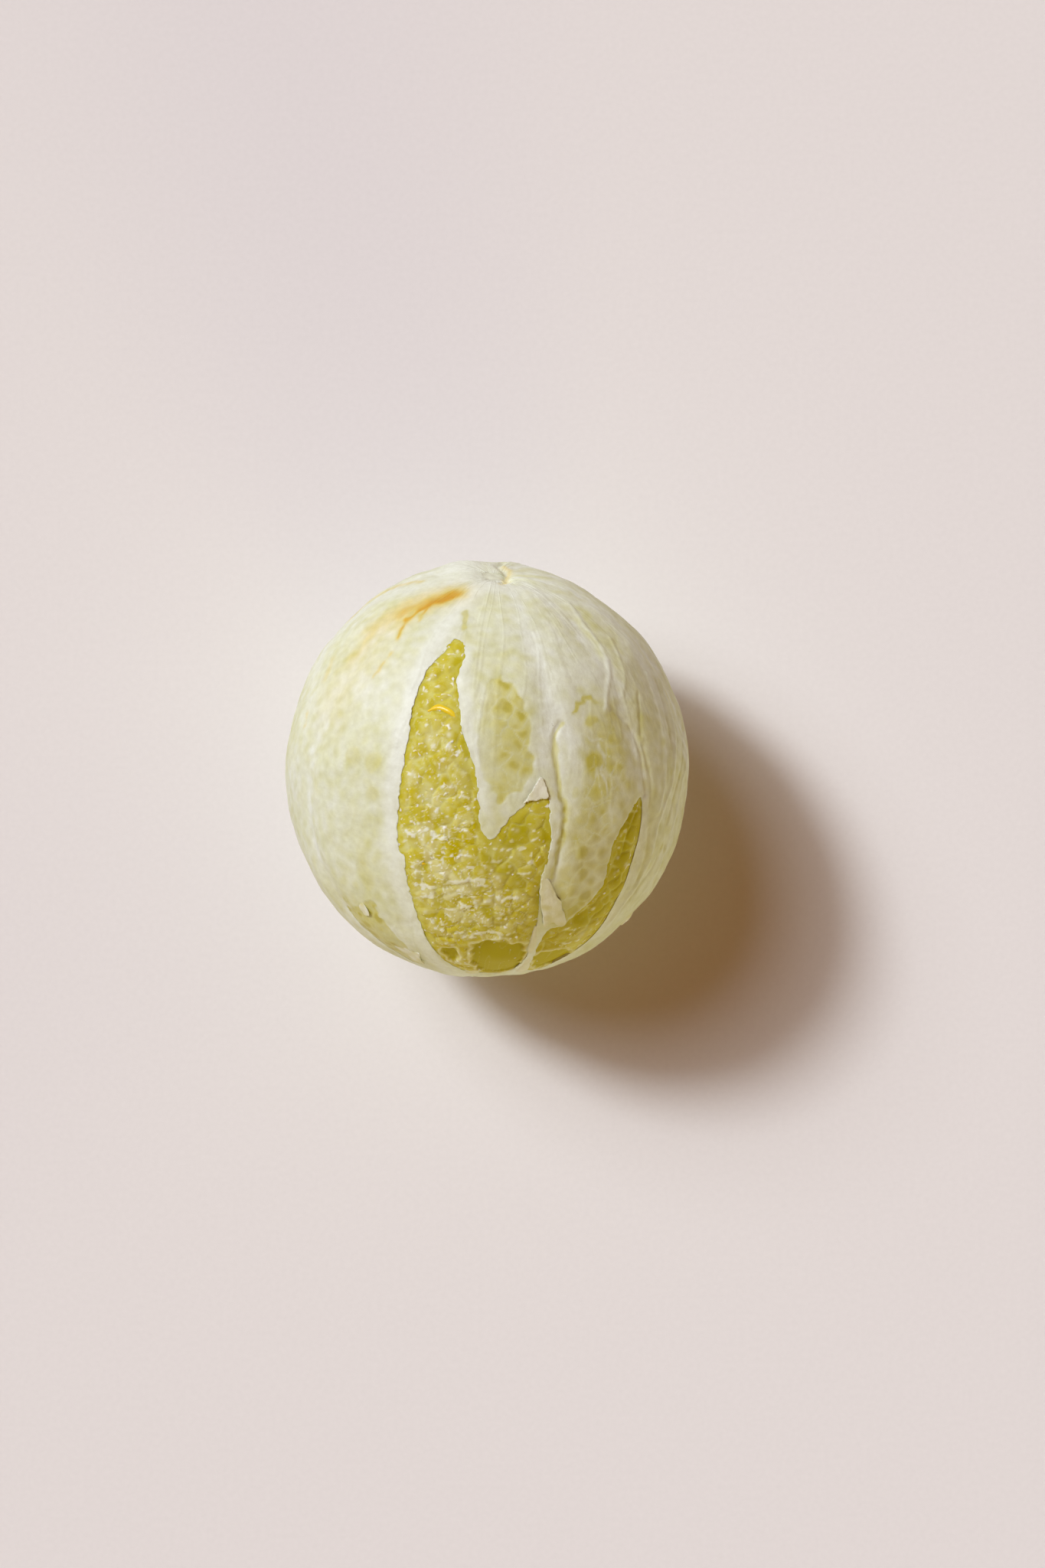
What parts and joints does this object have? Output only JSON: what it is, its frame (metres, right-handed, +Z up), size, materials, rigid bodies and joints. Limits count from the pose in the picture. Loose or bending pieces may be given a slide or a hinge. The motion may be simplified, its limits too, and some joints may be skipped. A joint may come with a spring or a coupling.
{
  "type": "peeled mandarin",
  "caption": "Round peeled citrus fruit on its side, its wedge segments still joined in a ball under white membrane, torn open over green-yellow juice sacs.",
  "frame": {"origin": "the middle of the bottom of the fruit's bounding box, on the surface that it rests on", "axes": "+Z up; the fruit lies on its side with its stem end towards +Y and about 20 degrees above the surface; the torn segments are on top"},
  "size_m": [0.05, 0.0516, 0.0491],
  "materials": {
    "membrane": "thin damp citrus membrane with white pith, pale yellow-green, satin",
    "juice_sacs": "wet translucent juice sacs, olive yellow-green, glossy"
  },
  "bodies": {
    "root": {"segment_01": "membrane", "segment_02": "juice_sacs", "segment_03": "juice_sacs", "segment_04": "membrane", "segment_05": "membrane", "segment_06": "membrane", "segment_07": "membrane", "segment_08": "membrane", "segment_09": "membrane", "segment_10": "membrane"}
  },
  "joints": []
}
